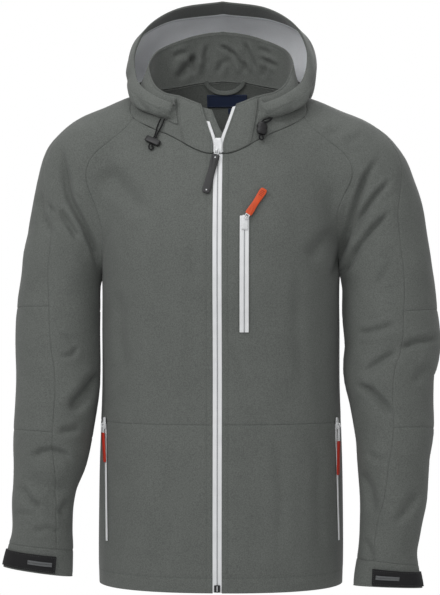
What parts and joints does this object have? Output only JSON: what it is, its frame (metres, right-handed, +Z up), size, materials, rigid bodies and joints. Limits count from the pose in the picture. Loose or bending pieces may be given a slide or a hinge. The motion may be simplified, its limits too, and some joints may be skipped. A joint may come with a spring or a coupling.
{
  "type": "hooded softshell jacket",
  "caption": "Zip-front softshell jacket with a hood, raglan sleeves, stand collar and pocket zips, in its hollow worn form.",
  "frame": {"origin": "centre of the neck, level with the sides of the neck seam, where the wearer's neck and shoulders hold the jacket", "axes": "+Z up, -Y to the front of the jacket, +X to the wearer's left"},
  "size_m": [0.6556, 0.3344, 0.8906],
  "materials": {
    "shell_fabric": "fine matt twill softshell, dark warm grey, slightly heathered",
    "lining_fabric": "smooth pale lining",
    "label_fabric": "navy woven label, bare",
    "zip_tape": "white coated zip tape",
    "slider_white": "white lacquered zip slider",
    "pull_black": "black moulded rubber pull on a black link",
    "pull_orange": "orange moulded rubber pull on a white link",
    "strap_black": "black moulded cuff tab, satin",
    "patch_grey": "grey flat patch, bare",
    "cord_black": "braided elastic cord",
    "lock_black": "black moulded cord lock"
  },
  "bodies": {
    "jacket": {"front_lower_right": "shell_fabric", "front_lower_left": "shell_fabric", "front_upper_right": "shell_fabric", "front_upper_left": "shell_fabric", "back": "shell_fabric", "sleeve_front_right": "shell_fabric", "sleeve_upper_right": "shell_fabric", "sleeve_elbow_right": "shell_fabric", "sleeve_lower_right": "shell_fabric", "cuff_right": "shell_fabric", "sleeve_front_left": "shell_fabric", "sleeve_upper_left": "shell_fabric", "sleeve_elbow_left": "shell_fabric", "sleeve_lower_left": "shell_fabric", "cuff_left": "shell_fabric", "collar": "shell_fabric", "collar_front_right": "shell_fabric", "collar_front_left": "shell_fabric", "wind_flap": "shell_fabric", "hood": "shell_fabric", "hood_rim_band": "shell_fabric", "hang_loop": "shell_fabric", "hood_lining": "lining_fabric", "neck_label": "label_fabric", "label_tab": "label_fabric", "main_zip": "zip_tape", "zip_end_right": "zip_tape", "zip_end_left": "zip_tape", "chest_zip": "zip_tape", "side_right_zip": "zip_tape", "side_left_zip": "zip_tape", "main_slider": "slider_white", "chest_slider": "slider_white", "side_right_slider": "slider_white", "side_left_slider": "slider_white", "cuff_strap_right": "strap_black", "cuff_strap_left": "strap_black", "strap_patch_right": "patch_grey", "strap_patch_left": "patch_grey", "cord_right": "cord_black", "cord_left": "cord_black", "cord_lock_right": "lock_black", "cord_lock_left": "lock_black"},
    "main_pull": {"main_pull": "pull_black"},
    "chest_pull": {"chest_pull": "pull_orange"},
    "side_right_pull": {"side_right_pull": "pull_orange"},
    "side_left_pull": {"side_left_pull": "pull_orange"}
  },
  "joints": [
    {"name": "main_pull_hinge", "type": "hinge", "parent": "jacket", "child": "main_pull", "pos_m": [-0.001, -0.11393, -0.1086], "axis": [-0.9719, 0.0613, 0.2271], "range_deg": [0, 140]},
    {"name": "chest_pull_hinge", "type": "hinge", "parent": "jacket", "child": "chest_pull", "pos_m": [0.04158, -0.14371, -0.20908], "axis": [0.8476, -0.0067, -0.5305], "range_deg": [0, 140]},
    {"name": "side_right_pull_hinge", "type": "hinge", "parent": "jacket", "child": "side_right_pull", "pos_m": [-0.17448, -0.06318, -0.51486], "axis": [-0.4557, 0.884, -0.104], "range_deg": [0, 55]},
    {"name": "side_left_pull_hinge", "type": "hinge", "parent": "jacket", "child": "side_left_pull", "pos_m": [0.17831, -0.05285, -0.51479], "axis": [-0.3702, -0.9275, 0.0517], "range_deg": [0, 25]}
  ]
}
